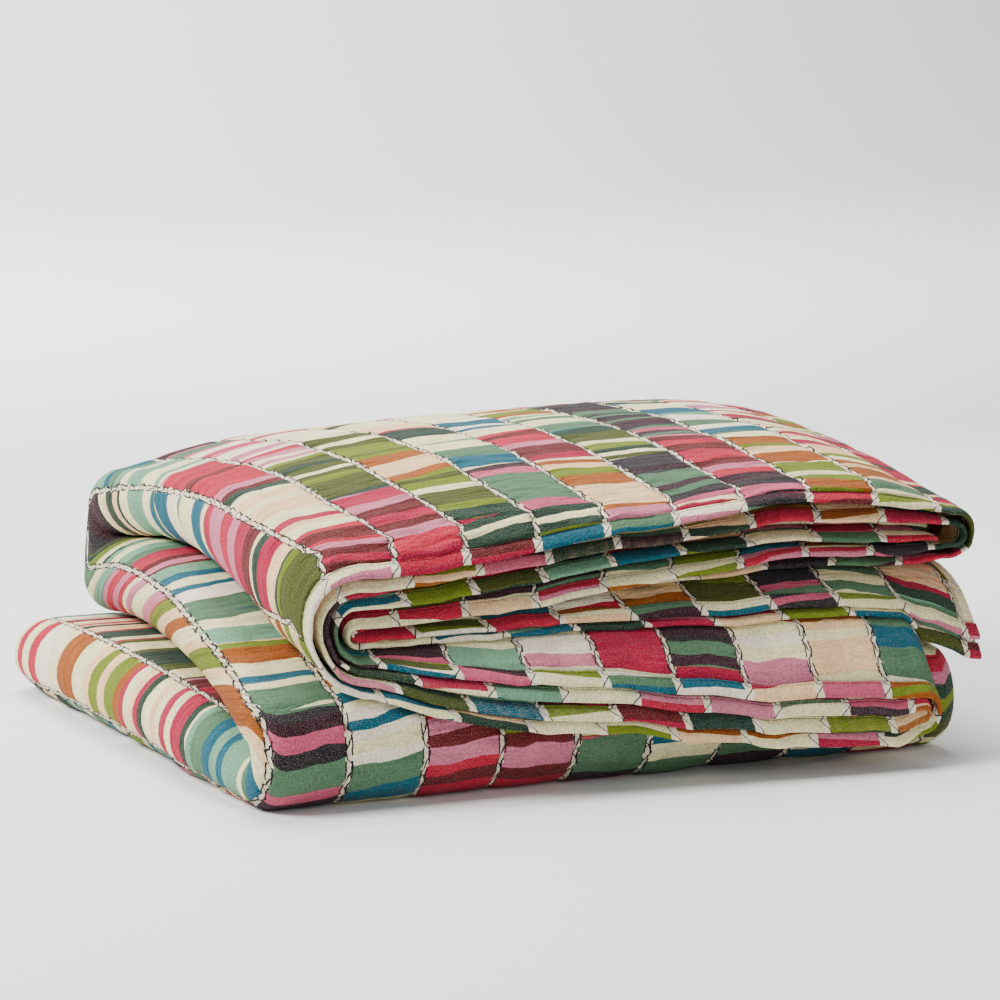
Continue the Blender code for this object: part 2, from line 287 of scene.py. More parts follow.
def noise_2d(u, v, seed):
    """Smooth value noise from -1 to 1 over two measures."""
    random = np.random.default_rng(seed)
    values = random.uniform(-1, 1, (NOISE_CELLS, NOISE_CELLS))
    i = np.floor(u).astype(int)
    j = np.floor(v).astype(int)
    a = (1 - np.cos(np.pi * (u - i))) / 2
    b = (1 - np.cos(np.pi * (v - j))) / 2
    i, next_i = i % NOISE_CELLS, (i + 1) % NOISE_CELLS
    j, next_j = j % NOISE_CELLS, (j + 1) % NOISE_CELLS
    near = values[i, j] * (1 - b) + values[i, next_j] * b
    far = values[next_i, j] * (1 - b) + values[next_i, next_j] * b
    return near * (1 - a) + far * a


def hem_wave(level, x, y):
    """Small waves of the hems, near alike in neighbouring levels: how far out and how far up."""
    fade = np.clip((DROOP_FROM_Y - y) / DROOP_FROM_Y, 0, 1) ** 2
    place = x * 0 + level * WAVE_CHANGE
    out = noise_2d(x / WAVE_LENGTH, place, 21) + noise_2d(x / RIPPLE_LENGTH, place, 22)
    up = noise_2d(x / WAVE_LENGTH + 9, place, 23) * fade
    return HEM_WAVE_OUT * out, HEM_WAVE_UP * up


def read_along(points, measure, wanted):
    """Points on each line (first axis) where its own growing measure has the values wanted."""
    apart = np.ptp(measure) + np.ptp(wanted) + 1
    offset = np.arange(len(points))[:, None] * apart
    known = (measure + offset).ravel()
    asked = (wanted + offset).ravel()
    found = [np.interp(asked, known, points[..., axis].ravel()) for axis in range(3)]
    return np.stack(found, axis=-1).reshape(wanted.shape + (3,))


def run_length(points, axis):
    """Length of cloth from the first point, along the axis."""
    step = np.linalg.norm(np.diff(points, axis=axis), axis=-1)
    run = np.cumsum(step, axis=axis)
    return np.insert(run, 0, 0, axis=axis)


def across(share, line, slab, y):
    """x of a pass's lines, at shares of its width from its left turn's line to its right line."""
    left = along(LEFT_LINE[slab], y, LINE_Y)
    right = along(RIGHT_LINES[line][slab], y, LINE_Y)
    return left + (right - left) * share


def turn(start, end, side, steps, roundness, upright=0):
    """Round turn between two lines of points: half an ellipse that bulges to one side.

    In the first rows, as many as upright says, only the height counts for the bulge.
    """
    angle = np.linspace(0, np.pi, steps + 1)[1:-1]
    angle = angle.reshape((-1,) + (1,) * start.ndim)
    middle = (start + end) / 2
    half = (start - end) / 2
    counted = half.copy()
    counted[:upright, 1] = 0
    reach = np.linalg.norm(counted, axis=-1, keepdims=True) * roundness
    return middle + half * np.cos(angle) + np.asarray(side, float) * reach * np.sin(angle)


class Rows:
    """How many rows a sheet has along its length: by length from the hem, then by depth."""

    def __init__(self, border, droop, depths, folded, fold_steps):
        self.border = np.asarray(border, float) * MM
        self.droop = np.asarray(droop, float)
        self.depths = np.asarray(depths, float) * MM
        self.folded = np.asarray(folded, float) * MM
        self.fold_steps = fold_steps
        self.top = len(self.border) + len(self.droop) + len(self.depths)
        self.count = self.top + 2 * (fold_steps - 1) + 2 * (len(self.folded) + 1)


def top_rows(level, share, line, rows):
    """The top slab: rows by length of cloth near the hem, then at depths."""
    way = np.linspace(0, 1, DROOP_STEPS)
    x = across(share, line, "top", DROOP_FROM_Y * way)
    hem_y = hem_of(level, x)[0] + hem_wave(level, x, x)[0]
    y = hem_y + (DROOP_FROM_Y - hem_y) * way
    front = np.stack([x, y, top_height(level, x, y) + hem_wave(level, x, y)[1]], axis=-1)
    border = read_along(front, run_length(front, 1), rows.border + front[:, :1, 0] * 0)
    edge_y = border[:, -1:, 1]
    y = edge_y + (DROOP_FROM_Y - edge_y) * rows.droop
    rest = read_along(front, front[..., 1], y)
    x = across(share, line, "top", rows.depths)
    y = x * 0 + rows.depths
    back = np.stack([x, y, top_height(level, x, y)], axis=-1)
    return np.concatenate([border, rest, back], axis=1)


def slab_rows(level, share, line, slab, height, depth):
    """The middle or bottom slab at its rows' depths."""
    x = across(share, line, slab, depth)
    y = x * 0 + depth
    return np.stack([x, y, height(level, x, y)], axis=-1)


def level_sheet(level, share, line, rows):
    """One level of one pass, from its hem to the bottom slab's end: lines across, rows deep."""
    share = share[:, None]
    top = top_rows(level, share, line, rows)
    middle_depth = np.append(rows.folded[::-1], FRONT_FOLD_Y)
    middle = slab_rows(level, share, line, "middle", middle_height, middle_depth)
    bottom_depth = np.concatenate([[FRONT_FOLD_Y], rows.folded[:-1], [BOTTOM_END_Y]])
    bottom = slab_rows(level, share, line, "bottom", bottom_height, bottom_depth)
    back = turn(top[:, -1], middle[:, 0], (0, 1, 0), rows.fold_steps, BACK_ROUNDNESS)
    front = turn(middle[:, -1], bottom[:, 0], (0, -1, 0), rows.fold_steps, FRONT_ROUNDNESS)
    back = np.moveaxis(back, 0, 1)
    front = np.moveaxis(front, 0, 1)
    return np.concatenate([top, back, middle, front, bottom], axis=1)


def half_sheet(which, rows):
    """All passes of the face layers (which = 1) or of the back layers (which = 2)."""
    strips = []
    for i, entry in enumerate(PASSES):
        strip = level_sheet(entry[which], np.linspace(0, 1, LINES_A_PASS), entry[4], rows)
        if entry[3] == "left":
            strip = strip[::-1]
        if strips:
            side = (-1, 0, 0) if PASSES[i - 1][3] == "left" else (1, 0, 0)
            before, after = strips[-1][-1], strip[0]
            strips.append(turn(before, after, side, TURN_STEPS, TURN_ROUNDNESS, rows.top))
        strips.append(strip)
    return np.concatenate(strips, axis=0)


def folded_sheet(rows, back_rows):
    """The sheet on a fine grid of its folds: lines across the cloth by rows along it."""
    face = half_sheet(1, rows)
    back = half_sheet(2, back_rows)
    end = turn(face[:, -1], back[:, -1], (0, 1, 0), END_STEPS, END_ROUNDNESS)
    sheet = np.concatenate([face, np.moveaxis(end, 0, 1), back[:, ::-1]], axis=1)
    sheet[..., :2] -= CENTRE
    return sheet


# Quilting: how a column is sampled, in millimetres from its seam. Fine where it is seen.
FINE_COLUMN = (0, 1.5, 3.5, 6, 9, 13, 18, 23, 28, 33, 37, 40, 42.5, 44.5, 46)
COARSE_COLUMN = (0, 3.6, 12, 24, 36, 43, 46)
CLOSEST_LINES = 0.7 * MM
# Seams counted from the first one, more than the cloth has, and lines round the middle of a turn
SEAMS = np.arange(-2, 64)
TURN_LINES = np.arange(-30, 31, 2.5) * MM
# Lines of the border, in millimetres from the cloth's edge, and the deepest dent of the wrap
BORDER = (0, 0.7, 1.8, 3.5, 5.5, 7.5, 9.0, 10.0)
DEEPEST_DENT = 0.5
# The binding: its row of stitches as a share of its width, how far in its roll is full, in half
# thicknesses, and how uneven it is
STITCH_ROW = 0.86
ROLL_REACH = 1.6
BINDING_WAVE = 0.20
# Share of the binding's thickness left where the stack presses it, at the cloth's two sides
SIDE_PRESSED = 0.68
ROLL_WAVES = ((9 * MM, 6 * MM, 1, 17), (5.5 * MM, 6 * MM, 0.6, 18))
# Where stitches and column seams draw the roll in: how wide, and by what share of its thickness
STITCH_DRAW, STITCH_REACH = 0.35, 0.7 * MM
PINCH_DRAW, PINCH_REACH = 0.25, 2 * MM
THINNEST_ROLL = 0.05 * MM
# Ripples that the binding's pull leaves in the cloth, and how soon they fade inwards. Each layer
# of noise is its lengths across and along the cloth, its strength and its seed.
CRIMPS = ((8 * MM, 30 * MM, 1, 41), (4.5 * MM, 20 * MM, 0.5, 42))
CRIMP_FADE = 16 * MM
# Dents of the outer wrap, and puckers at a seam: their length along it, how they change from
# column to column, their strength and seed, and where beside the seam they stand
DENTS = ((55 * MM, 45 * MM, 1, 31), (24 * MM, 19 * MM, 0.5, 32))
PUCKERS = ((14 * MM, 3.7, 5.1, 1, 3), (9.5 * MM, 1.9, 2.3, 0.6, 5))
PUCKER_FADE = 10 * MM
PUCKER_START = 1.5 * MM
OTHER_SIDE = 31
# Share of a column over which the quilting rises to its full thickness
FULL_AT = 0.3


def layered_noise(u, v, layers):
    """Sum of smooth noises of two measures, each with its own lengths, strength and seed."""
    return sum(strength * noise_2d(u / long_u, v / long_v, seed)
               for long_u, long_v, strength, seed in layers)


def hem_crimp(u, v, sizes):
    """How far the binding's pull ripples the cloth: noise that fades with v from a hem."""
    from_hem = np.minimum(v, sizes.cloth_length - v)
    return sizes.crimp_depth * layered_noise(u, v, CRIMPS) * np.exp(-from_hem / CRIMP_FADE)


def seam_offset(u, sizes):
    """How far a place is past the nearest column seam: negative before it."""
    pitch = sizes.column_width
    return (u - sizes.first_seam + pitch / 2) % pitch - pitch / 2


class Cloth:
    """The folded sheet at chosen rows, and its measures: u across and v along the cloth."""

    def __init__(self, sizes, rows, back_rows):
        self.sizes = sizes
        dense = folded_sheet(rows, back_rows)
        run = run_length(dense, 0)
        self.dense = np.swapaxes(dense, 0, 1)
        self.measure = np.swapaxes(run / run[-1:], 0, 1) * sizes.cloth_width
        length = run_length(dense, 1)
        half = rows.count + END_STEPS // 2 - 1
        self.back_row = rows.count + END_STEPS - 1
        self.total = dense.shape[1]
        face = length[:, half:half + 1]
        rest = length[:, -1:] - face
        first = length / face
        second = 1 + (length - face) / rest
        v = np.where(np.arange(length.shape[1]) <= half, first, second) * sizes.cloth_length / 2
        self.dense_v = np.swapaxes(v, 0, 1)

    def at(self, u):
        """Points and v at the places u across the cloth: lines by rows."""
        wanted = np.broadcast_to(u, (len(self.dense), len(u)))
        points = read_along(self.dense, self.measure, wanted)
        with_v = np.stack([self.dense_v] * 3, axis=-1)
        v = read_along(with_v, self.measure, wanted)[..., 0]
        points, v = np.swapaxes(points, 0, 1), np.swapaxes(v, 0, 1)
        crimp = hem_crimp(u[:, None], v, self.sizes)
        return points + surface_normals(points) * crimp[..., None], v

    def start_of(self, name):
        """u at the front hem where a pass begins and where it ends."""
        i = [entry[0] for entry in PASSES].index(name)
        first = i * (LINES_A_PASS + TURN_STEPS - 1)
        return self.measure[0, first], self.measure[0, first + LINES_A_PASS - 1]

    def turns_of(self, pairs):
        """u in the middle of the turn from each pass of a pair to the next."""
        return [(self.start_of(a)[1] + self.start_of(b)[0]) / 2 for a, b in pairs]

    def seam_near(self, u):
        """The column seam nearest to a place across the cloth."""
        pitch = self.sizes.column_width
        return self.sizes.first_seam + round((u - self.sizes.first_seam) / pitch) * pitch

    def lines_between(self, low, high, column, turns=()):
        """Places across the cloth: some for each column, more in its tight turns."""
        pitch = self.sizes.column_width
        seams = self.sizes.first_seam + pitch * SEAMS
        u = (seams[:, None] + np.array(column) * pitch / column[-1]).ravel()
        for centre in turns:
            u = np.append(u, centre + TURN_LINES)
        u = np.sort(np.append(u[(u > low) & (u < high)], [low, high]))
        keep = np.append(True, np.diff(u) > CLOSEST_LINES)
        return u[keep]


def edge_lines(width, near_start=True):
    """Places of the border's lines at one side of the cloth."""
    border = np.array(BORDER) * MM
    return border if near_start else width - border[::-1]


def surface_normals(points):
    """Direction out of the cloth's right side at each point."""
    normal = np.cross(np.gradient(points, axis=0), np.gradient(points, axis=1))
    return normal / np.linalg.norm(normal, axis=-1, keepdims=True)


def puff(distance, reach):
    """How full the quilting is: 0 in a seam, rising as a quarter circle to 1 within reach."""
    way = np.clip(distance / reach, 0, 1)
    return np.sqrt(1 - (1 - way) ** 2)


def grid_cells(lines, rows):
    """The numbers of a grid's points, and its cells as four of them each."""
    index = np.arange(lines * rows).reshape(lines, rows)
    cells = np.stack([index[:-1, :-1], index[1:, :-1], index[1:, 1:], index[:-1, 1:]], -1)
    return index, cells.reshape(-1, 4)


def close_grid(upper, lower):
    """Corners and faces of a closed sheet: two grids of points, joined round their edge."""
    index, cells = grid_cells(*upper.shape[:2])
    count = index.size
    rim = np.concatenate([index[:, 0], index[-1, 1:], index[-2::-1, -1], index[0, -2:0:-1]])
    after = np.roll(rim, -1)
    wall = np.stack([after, rim, rim + count, after + count], -1)
    faces = np.concatenate([cells, cells[:, ::-1] + count, wall])
    corners = np.concatenate([upper.reshape(-1, 3), lower.reshape(-1, 3)])
    return corners, faces


def make_piece(name, corners, faces, measures, finish):
    """A mesh object from arrays. measures holds attribute names and their values by corner."""
    mesh = bpy.data.meshes.new(name)
    mesh.vertices.add(len(corners))
    mesh.vertices.foreach_set("co", corners.ravel())
    mesh.loops.add(faces.size)
    mesh.loops.foreach_set("vertex_index", faces.ravel())
    mesh.polygons.add(len(faces))
    mesh.polygons.foreach_set("loop_start", np.arange(len(faces)) * faces.shape[1])
    mesh.update(calc_edges=True)
    mesh.validate()
    for title, values in measures.items():
        kind = "FLOAT_VECTOR" if values.ndim == 2 else "FLOAT"
        attribute = mesh.attributes.new(title, kind, "POINT")
        attribute.data.foreach_set("vector" if values.ndim == 2 else "value",
                                   values.astype(np.float32).ravel())
    mesh.shade_smooth()
    mesh.materials.append(finish)
    piece = bpy.data.objects.new(name, mesh)
    bpy.context.scene.collection.objects.link(piece)
    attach(piece, "root")
    return piece


# The rows of the outer wrap, of the folds inside it, and of the layer behind them
OUTER_ROWS = Rows(BORDER, np.linspace(0.08, 0.92, 12), np.arange(50, 373, 6.08),
                  np.append(np.arange(50, 370, 13), 372), 20)
INNER_ROWS = Rows(BORDER, np.linspace(0.08, 0.9, 10), (50, 70, 100, 140, 190, 250, 310, 350, 372),
                  (50, 75, 110, 150, 200, 260, 320, 355, 372), 12)


# Width of cloth over which one pass's fullness gives way to the next one's, its fade from row to
# row, and how many rows at the hem are shown in full
SHOWN_BLEND = 20 * MM
SHOWN_FADE = np.array((1, 2, 3, 2, 1)) / 9
HEM_ROWS = 3


def exposure(cloth, u, rows, total_rows):
    """Where the outer wrap's right side is free to rise: its top, its left turn, its folds."""
    low, high = cloth.start_of("sixth")[1], cloth.start_of("first")[0]
    on_first = np.clip((u - high) / SHOWN_BLEND + 0.5, 0, 1)[:, None]
    on_sixth = np.clip((low - u) / SHOWN_BLEND + 0.5, 0, 1)[:, None]
    steps = rows.fold_steps - 1
    slab = len(rows.folded) + 1
    parts = (rows.top, steps, slab, steps, slab)
    first_rows = np.repeat((1, 1, 0, 0, 0), parts)
    sixth_rows = np.repeat((0, 0, 0, 1, 0), parts)
    first_rows = np.convolve(first_rows, SHOWN_FADE, mode="same")
    first_rows[:HEM_ROWS] = 1
    sixth_rows = np.convolve(sixth_rows, SHOWN_FADE, mode="same")
    turn_rows = np.ones(len(first_rows))
    shown = on_first * first_rows + on_sixth * sixth_rows + (1 - on_first - on_sixth) * turn_rows
    pad = total_rows - shown.shape[1]
    return np.concatenate([shown, np.zeros((len(u), pad))], axis=1)


def cloth_piece(name, cloth, u, first_row, last_row, finish, shown=None):
    """One stretch of the quilted sheet between two lines and two rows, as a closed cloth.

    Its two faces lie half a thickness either side of the fold's surface: thin in the column
    seams and full between them. Where shown is above 0 the right side stands fuller, small
    puckers run into the seams, and soft dents and swells pass over it.
    """
    sizes = cloth.sizes
    points, v = cloth.at(u)
    normal = surface_normals(points)
    distance = np.abs(seam_offset(u, sizes))[:, None]
    full = puff(distance, sizes.column_width * FULL_AT)
    half = sizes.seam_thick / 2 + (sizes.full_thick - sizes.seam_thick) / 2 * full
    if shown is None:
        shown = points[..., 0] * 0
    count = (u - sizes.first_seam) / sizes.column_width
    column = np.floor(count)[:, None]
    side = np.where(count % 1 < 0.5, 0, OTHER_SIDE)[:, None]
    pucker = sum(strength * noise_2d(column * shift + side, v / length + column * change, seed)
                 for length, shift, change, strength, seed in PUCKERS)
    near = np.exp(-distance / PUCKER_FADE) * (1 - np.exp(-distance / PUCKER_START))
    relief = shown * (sizes.extra_puff * full + sizes.pucker_depth * near * pucker)
    dent = layered_noise(u[:, None] + v * 0, v, DENTS)
    relief = relief + shown * sizes.dent_depth * np.maximum(dent, -DEEPEST_DENT)
    upper = points + normal * (half + relief)[..., None]
    lower = points - normal * (half - np.minimum(relief, 0))[..., None]
    for face in (upper, lower):
        face[..., 2] = np.maximum(face[..., 2], 0)
    rows = slice(first_row, last_row)
    upper, lower, v = upper[:, rows], lower[:, rows], v[:, rows]
    corners, faces = close_grid(upper, lower)
    place = np.stack([u[:, None] + v * 0, v, v * 0], axis=-1).reshape(-1, 3)
    place = np.concatenate([place, place + (0, 0, 1)])
    piece = make_piece(name, corners, faces, {"cloth_place": place}, finish)
    return piece


def binding_strip(name, points, run, side, depth, finish, sizes, pressed=1.0):
    """A strip of binding on one edge of the sheet, as a closed band.

    depth is each point's distance in from the edge. Half its thickness rises from 0 at the
    edge as a quarter circle, is drawn in again at the row of stitches and where a column's
    seam runs into it, and swells and sinks a little between. pressed is the share of its
    thickness that the stack's weight leaves. depth is negative underneath.
    """
    normal = surface_normals(points)
    roll = sizes.binding_thick / 2 * pressed
    rise = puff(depth, roll * ROLL_REACH)
    stitch = np.exp(-((depth - sizes.binding_width * STITCH_ROW) / STITCH_REACH) ** 2)
    pinch = np.exp(-np.abs(seam_offset(run, sizes)) / PINCH_REACH)
    drawn = STITCH_DRAW * stitch + PINCH_DRAW * pinch
    half = roll * rise * (1 - drawn + BINDING_WAVE * layered_noise(run, depth, ROLL_WAVES))
    half = np.maximum(half, THINNEST_ROLL)
    upper = points + normal * half[..., None]
    lower = points - normal * half[..., None]
    corners, faces = close_grid(upper, lower)
    place = np.stack([run, run * 0 + side, depth], axis=-1).reshape(-1, 3)
    place = np.concatenate([place, place * (1, 1, -1)])
    return make_piece(name, corners, faces, {"binding_place": place}, finish)


class Shading:
    """Adds nodes to a tree and links them: a value, a socket or a colour goes into an input."""

    def __init__(self, tree):
        self.tree = tree

    def node(self, kind, inputs=None, **settings):
        """A node with its settings, its inputs filled by number or name."""
        made = self.tree.nodes.new(kind)
        for key, value in settings.items():
            setattr(made, key, value)
        for key, value in (inputs or {}).items():
            if isinstance(value, bpy.types.NodeSocket):
                self.tree.links.new(value, made.inputs[key])
            else:
                made.inputs[key].default_value = value
        return made

    def math(self, operation, *values):
        """The result of a math node. The four methods after it name its usual ones."""
        made = self.node("ShaderNodeMath", dict(enumerate(values)), operation=operation)
        return made.outputs[0]

    def plus(self, one, other):
        return self.math("ADD", one, other)

    def minus(self, one, other):
        return self.math("SUBTRACT", one, other)

    def times(self, one, other):
        return self.math("MULTIPLY", one, other)

    def ratio(self, one, other):
        return self.math("DIVIDE", one, other)

    def centred(self, value):
        """A value from 0 to 1, moved to lie round 0."""
        return self.minus(value, 0.5)

    def place(self, x, y=0.0, z=0.0):
        """A vector of three measures."""
        return self.node("ShaderNodeCombineXYZ", {0: x, 1: y, 2: z}).outputs[0]

    def parts(self, vector):
        """The three measures of a vector."""
        return self.node("ShaderNodeSeparateXYZ", {0: vector}).outputs

    def channels(self, colour):
        """The three channels of a colour."""
        return self.node("ShaderNodeSeparateColor", {0: colour}).outputs

    def group(self, tree, inputs):
        """A node group placed in this tree, its inputs filled by name."""
        return self.node("ShaderNodeGroup", inputs, node_tree=tree).outputs

    def mix(self, factor, one, other, blend="MIX"):
        made = self.node("ShaderNodeMix", {0: factor, 6: one, 7: other},
                         data_type="RGBA", blend_type=blend)
        return made.outputs[2]

    def noise(self, vector, scale, detail=2.0):
        made = self.node("ShaderNodeTexNoise", {"Vector": vector, "Scale": scale, "Detail": detail})
        return made.outputs["Fac"]

    def ramp(self, factor, stops, constant=False):
        made = self.node("ShaderNodeValToRGB", {0: factor})
        band = made.color_ramp
        band.interpolation = "CONSTANT" if constant else "LINEAR"
        while len(band.elements) < len(stops):
            band.elements.new(1.0)
        for element, (place, colour) in zip(band.elements, stops):
            element.position = place
            element.color = (*colour[:3], 1)
        return made.outputs[0]


def new_group(name, inputs, outputs):
    """An empty shader node group with named sockets: lists of (socket type, name)."""
    tree = bpy.data.node_groups.new(name, "ShaderNodeTree")
    for kind, title in inputs:
        tree.interface.new_socket(title, in_out="INPUT", socket_type=kind)
    for kind, title in outputs:
        tree.interface.new_socket(title, in_out="OUTPUT", socket_type=kind)
    into = tree.nodes.new("NodeGroupInput")
    out = tree.nodes.new("NodeGroupOutput")
    return tree, Shading(tree), into.outputs, out.inputs


# The cotton, per metre of cloth: waves of its threads, slubs, cloudy dye and pale flecks
THREAD_WAVES, SLUBS, CLOUDS, FLECKS = 7600.0, 640.0, 70.0, 1900.0
# How light the dye is: its ground, and what slubs and clouds add
DYE_GROUND, DYE_SLUB, DYE_CLOUD = 0.08, 1.40, 0.44
# Flecks: the noise they start from, how fast they grow and the most they hide of the dye
FLECK_START, FLECK_GAIN, FLECK_MOST = 0.58, 2.0, 0.42
# Relief of the threads and slubs, in parts of the bump's depth
THREAD_HEIGHT, SLUB_HEIGHT, BUMP_DEPTH = 0.10, 1.30, 0.6 * MM
ROUGHNESS, SLUB_ROUGHNESS = 0.82, 0.14


def cotton_surface_group():
    """Slubby cotton weave: flecked colour and a fine bump, used by the cloth and the binding.

    Colour = dye times (1 + slub + cloud), then mixed to undyed fibre in small flecks. Height =
    warp times weft, two sines of the place, plus slub noise and the relief that is given.
    """
    tree, s, given, out = new_group(
        "Cotton surface",
        [("NodeSocketVector", "Place"), ("NodeSocketColor", "Dye"),
         ("NodeSocketColor", "Undyed"), ("NodeSocketFloat", "Relief")],
        [("NodeSocketColor", "Colour"), ("NodeSocketFloat", "Roughness"),
         ("NodeSocketVector", "Normal")])
    u, v = s.parts(given["Place"])[:2]
    flat = s.place(u, v)
    slub = s.noise(flat, SLUBS, 5.0)
    cloud = s.noise(flat, CLOUDS, 2.0)
    light = s.plus(s.times(slub, DYE_SLUB), s.times(cloud, DYE_CLOUD))
    light = s.plus(light, DYE_GROUND)
    grey = s.node("ShaderNodeCombineColor", {0: light, 1: light, 2: light}).outputs[0]
    colour = s.mix(1.0, given["Dye"], grey, "MULTIPLY")
    fleck = s.noise(s.place(u, v, 3.0), FLECKS, 1.0)
    fleck = s.times(s.minus(fleck, FLECK_START), FLECK_GAIN)
    fleck = s.node("ShaderNodeClamp", {"Value": fleck, "Min": 0.0, "Max": FLECK_MOST}).outputs[0]
    colour = s.mix(fleck, colour, given["Undyed"])
    tree.links.new(colour, out["Colour"])
    warp = s.math("SINE", s.times(u, THREAD_WAVES))
    weft = s.math("SINE", s.times(v, THREAD_WAVES))
    weave = s.times(warp, weft)
    height = s.plus(s.times(weave, THREAD_HEIGHT), s.times(slub, SLUB_HEIGHT))
    height = s.plus(height, given["Relief"])
    bump = s.node("ShaderNodeBump", {"Height": height, "Strength": 1.0, "Distance": BUMP_DEPTH})
    tree.links.new(bump.outputs[0], out["Normal"])
    tree.links.new(s.plus(s.times(slub, SLUB_ROUGHNESS), ROUGHNESS), out["Roughness"])
    return tree


def column_group():
    """Reads where a place lies among the columns: its column, its seam and its way across."""
    tree, s, given, out = new_group(
        "Columns",
        [("NodeSocketVector", "Place"), ("NodeSocketFloat", "Width"), ("NodeSocketFloat", "First")],
        [("NodeSocketFloat", "Column"), ("NodeSocketFloat", "Across"), ("NodeSocketFloat", "Seam")])
    count = s.ratio(s.minus(s.parts(given["Place"])[0], given["First"]), given["Width"])
    tree.links.new(s.math("FLOOR", count), out["Column"])
    tree.links.new(s.centred(s.math("FRACT", count)), out["Across"])
    near = s.centred(s.math("FRACT", s.plus(count, 0.5)))
    tree.links.new(s.times(near, given["Width"]), out["Seam"])
    return tree


# How much of the dye the pale strip over a seam hides
SASHING_COVER = 0.85
# Bars: how far one may lean, how its edge wavers across and along, and how fine a block's bars
# are, from the coarsest on
MOST_LEAN = 12 * MM
WAVER_ACROSS, WAVER_ALONG = 1.6, 60.0
COARSEST, FINER_BY = 0.6, 1.3
# How freely the bars' lengths differ, from 0 to 1
BAR_CHANCE = 0.9
# Shifts that bring each column and block to bars of its own
COLUMN_SHIFT, BLOCK_SHIFT = 3.0, 40.0
SHORTEST_BLOCK = 0.6

# The families of colours, four dyes each. The chance that picks one stays just under 1.
DYES_A_FAMILY = 4
JUST_UNDER = 0.001
FAMILIES = (
    ("raspberry", "maroon", "coral", "blush"),
    ("cream", "lime", "moss", "forest"),
    ("cream", "aqua", "teal", "sage"),
    ("cream", "blush", "ivory", "coral"),
    ("plum", "charcoal", "rose", "sage"),
    ("ochre", "cream", "lime", "peach"),
    ("ivory", "sage", "cream", "teal"),
    ("peach", "raspberry", "cream", "forest"),
)


def patchwork_group(colours):
    """Stacked bars in each column: a family of colours for a block, one of its dyes for a bar.

    Block = floor(place along / block length), bar = cell of one-dimensional Voronoi cells of
    the place along, which leans a little with the place across and wavers with noise.
    """
    tree, s, given, out = new_group(
        "Patchwork",
        [("NodeSocketFloat", "Column"), ("NodeSocketFloat", "Across"), ("NodeSocketFloat", "Along"),
         ("NodeSocketFloat", "Block"), ("NodeSocketFloat", "Bar"),
         ("NodeSocketFloat", "Waver")],
        [("NodeSocketColor", "Dye")])
    column = given["Column"]
    by_column = s.node("ShaderNodeTexWhiteNoise", {"W": column}, noise_dimensions="1D")
    chance = s.channels(by_column.outputs["Color"])
    along = s.plus(given["Along"], s.times(chance[0], COLUMN_SHIFT))
    block_length = s.times(given["Block"], s.plus(chance[1], SHORTEST_BLOCK))
    block = s.math("FLOOR", s.ratio(along, block_length))
    pair = s.place(column, block)
    by_block = s.node("ShaderNodeTexWhiteNoise", {"Vector": pair}, noise_dimensions="2D")
    pick = s.channels(by_block.outputs["Color"])
    lean = s.times(s.centred(pick[2]), MOST_LEAN)
    along = s.plus(along, s.times(given["Across"], lean))
    waver = s.place(s.times(given["Across"], WAVER_ACROSS), s.times(along, WAVER_ALONG), column)
    waver = s.times(s.centred(s.noise(waver, 1.0)), given["Waver"])
    along = s.plus(along, waver)
    fine = s.plus(s.times(pick[1], FINER_BY), COARSEST)
    place = s.plus(s.times(s.ratio(along, given["Bar"]), fine), s.times(pick[0], BLOCK_SHIFT))
    bars = s.node("ShaderNodeTexVoronoi", {"W": place, "Scale": 1.0, "Randomness": BAR_CHANCE},
                  voronoi_dimensions="1D")
    shade = s.channels(bars.outputs["Color"])
    count = len(FAMILIES)
    family = s.math("FLOOR", s.times(pick[0], count - JUST_UNDER))
    member = s.math("FLOOR", s.times(shade[0], DYES_A_FAMILY - JUST_UNDER))
    index = s.plus(s.times(family, DYES_A_FAMILY), member)
    names = sum(FAMILIES, ())
    factor = s.ratio(s.plus(index, 0.5), len(names))
    stops = [(i / len(names), colours[name]) for i, name in enumerate(names)]
    tree.links.new(s.ramp(factor, stops, constant=True), out["Dye"])
    return tree


# Stitches: how uneven their steps are, how far a running one wanders, and its beat and share
STEP_CHANGES, STEP_WAVER = 90.0, 1.1
WANDERS, WANDER = 110.0, 4.2 * MM
BEAT, BEAT_CHANGES, BEAT_WAVER, BEAT_SHARE = 13.5 * MM, 60.0, 8 * MM, 0.74
# Two rows of running stitches: where they lie in the pale strip's width, and their seeds
RUNNING_ROWS = ((0.55, 2.0), (-0.55, 7.0))
# To-and-fro stitches: how far to each side and how long a step, on the cloth and the binding
CLOTH_STITCH = (2.4 * MM, 19 * MM)
BINDING_STITCH = (3 * MM, 12.5 * MM)
# Ragged edge of the pale strip: changes per metre and how far
CLOTH_RAGGED = (210.0, 6.2 * MM)
BINDING_RAGGED = (260.0, 3 * MM)


def uneven(s, along, scale, amount):
    """A measure that runs a little fast and slow: the measure plus noise of itself."""
    return s.plus(along, s.times(s.centred(s.noise(s.place(along), scale)), amount))


def near_line(s, value, line, half_width):
    """Mask: 1 where a value is within half a width of a line."""
    return s.math("LESS_THAN", s.math("ABSOLUTE", s.minus(value, line)), half_width)


def cross_stitches(s, seam, along, spread, step, thread):
    """Mask of a dark thread worked to and fro over a seam.

    Its line is a triangle wave of the place along, spread to each side of the seam.
    """
    steps = s.ratio(uneven(s, along, STEP_CHANGES, step * STEP_WAVER), step)
    way = s.math("PINGPONG", steps, 0.5)
    line = s.times(s.minus(way, 0.25), spread * 4)
    return near_line(s, seam, line, thread)


